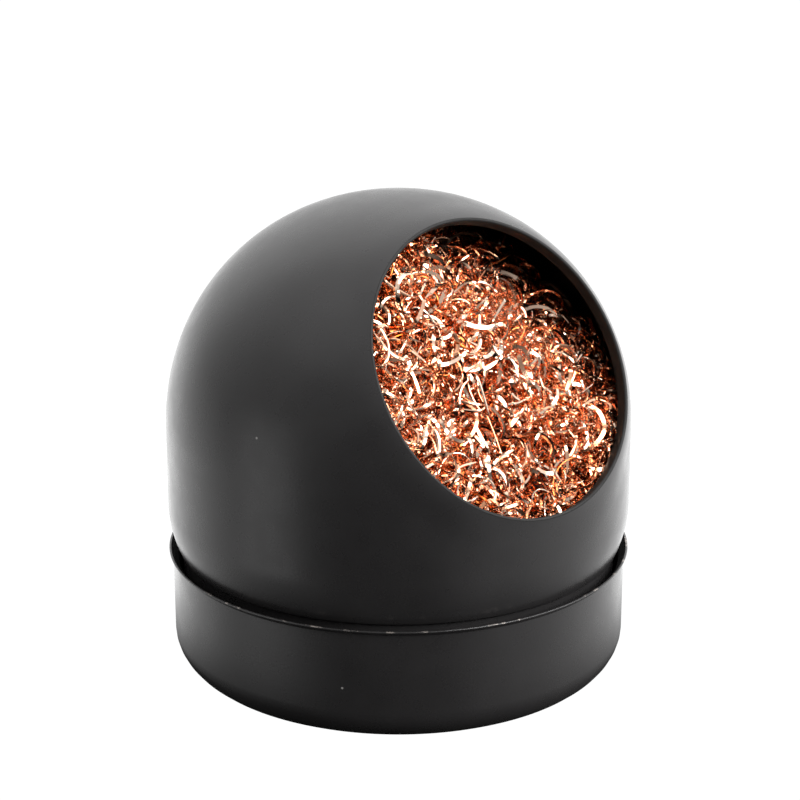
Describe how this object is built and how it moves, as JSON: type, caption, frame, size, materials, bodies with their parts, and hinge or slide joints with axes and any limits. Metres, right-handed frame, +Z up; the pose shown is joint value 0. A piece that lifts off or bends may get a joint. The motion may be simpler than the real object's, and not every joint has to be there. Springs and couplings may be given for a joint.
{
  "type": "soldering iron tip cleaner",
  "caption": "Dome-shaped soldering iron tip cleaner: round steel cup on rubber feet, lift-off black dome cover with a slanted round mouth, filled with copper wire wool.",
  "frame": {"origin": "on the bench, under the centre of the cup", "axes": "+Z up; the mouth faces -Y and up, so X = 0 is the mirror plane of the cup and the dome"},
  "size_m": [0.0682, 0.0682, 0.0708],
  "materials": {
    "black_paint_cup": "satin",
    "black_paint_dome": "satin",
    "copper_wool": "polished",
    "foot_rubber": "matte"
  },
  "bodies": {
    "base": {"base_cup": "black_paint_cup", "foot_1": "foot_rubber", "foot_2": "foot_rubber", "foot_3": "foot_rubber", "foot_4": "foot_rubber"},
    "wool": {"wire_wool": "copper_wool"},
    "cover": {"dome_cover": "black_paint_dome"}
  },
  "joints": [
    {"name": "cover_turn", "type": "hinge", "parent": "base", "child": "wool", "pos_m": [0, 0, 0], "axis": [0, 0, 1], "continuous": true},
    {"name": "cover_lift", "type": "slide", "parent": "wool", "child": "cover", "axis": [0, 0, 1], "range_m": [0, 0.07]}
  ]
}
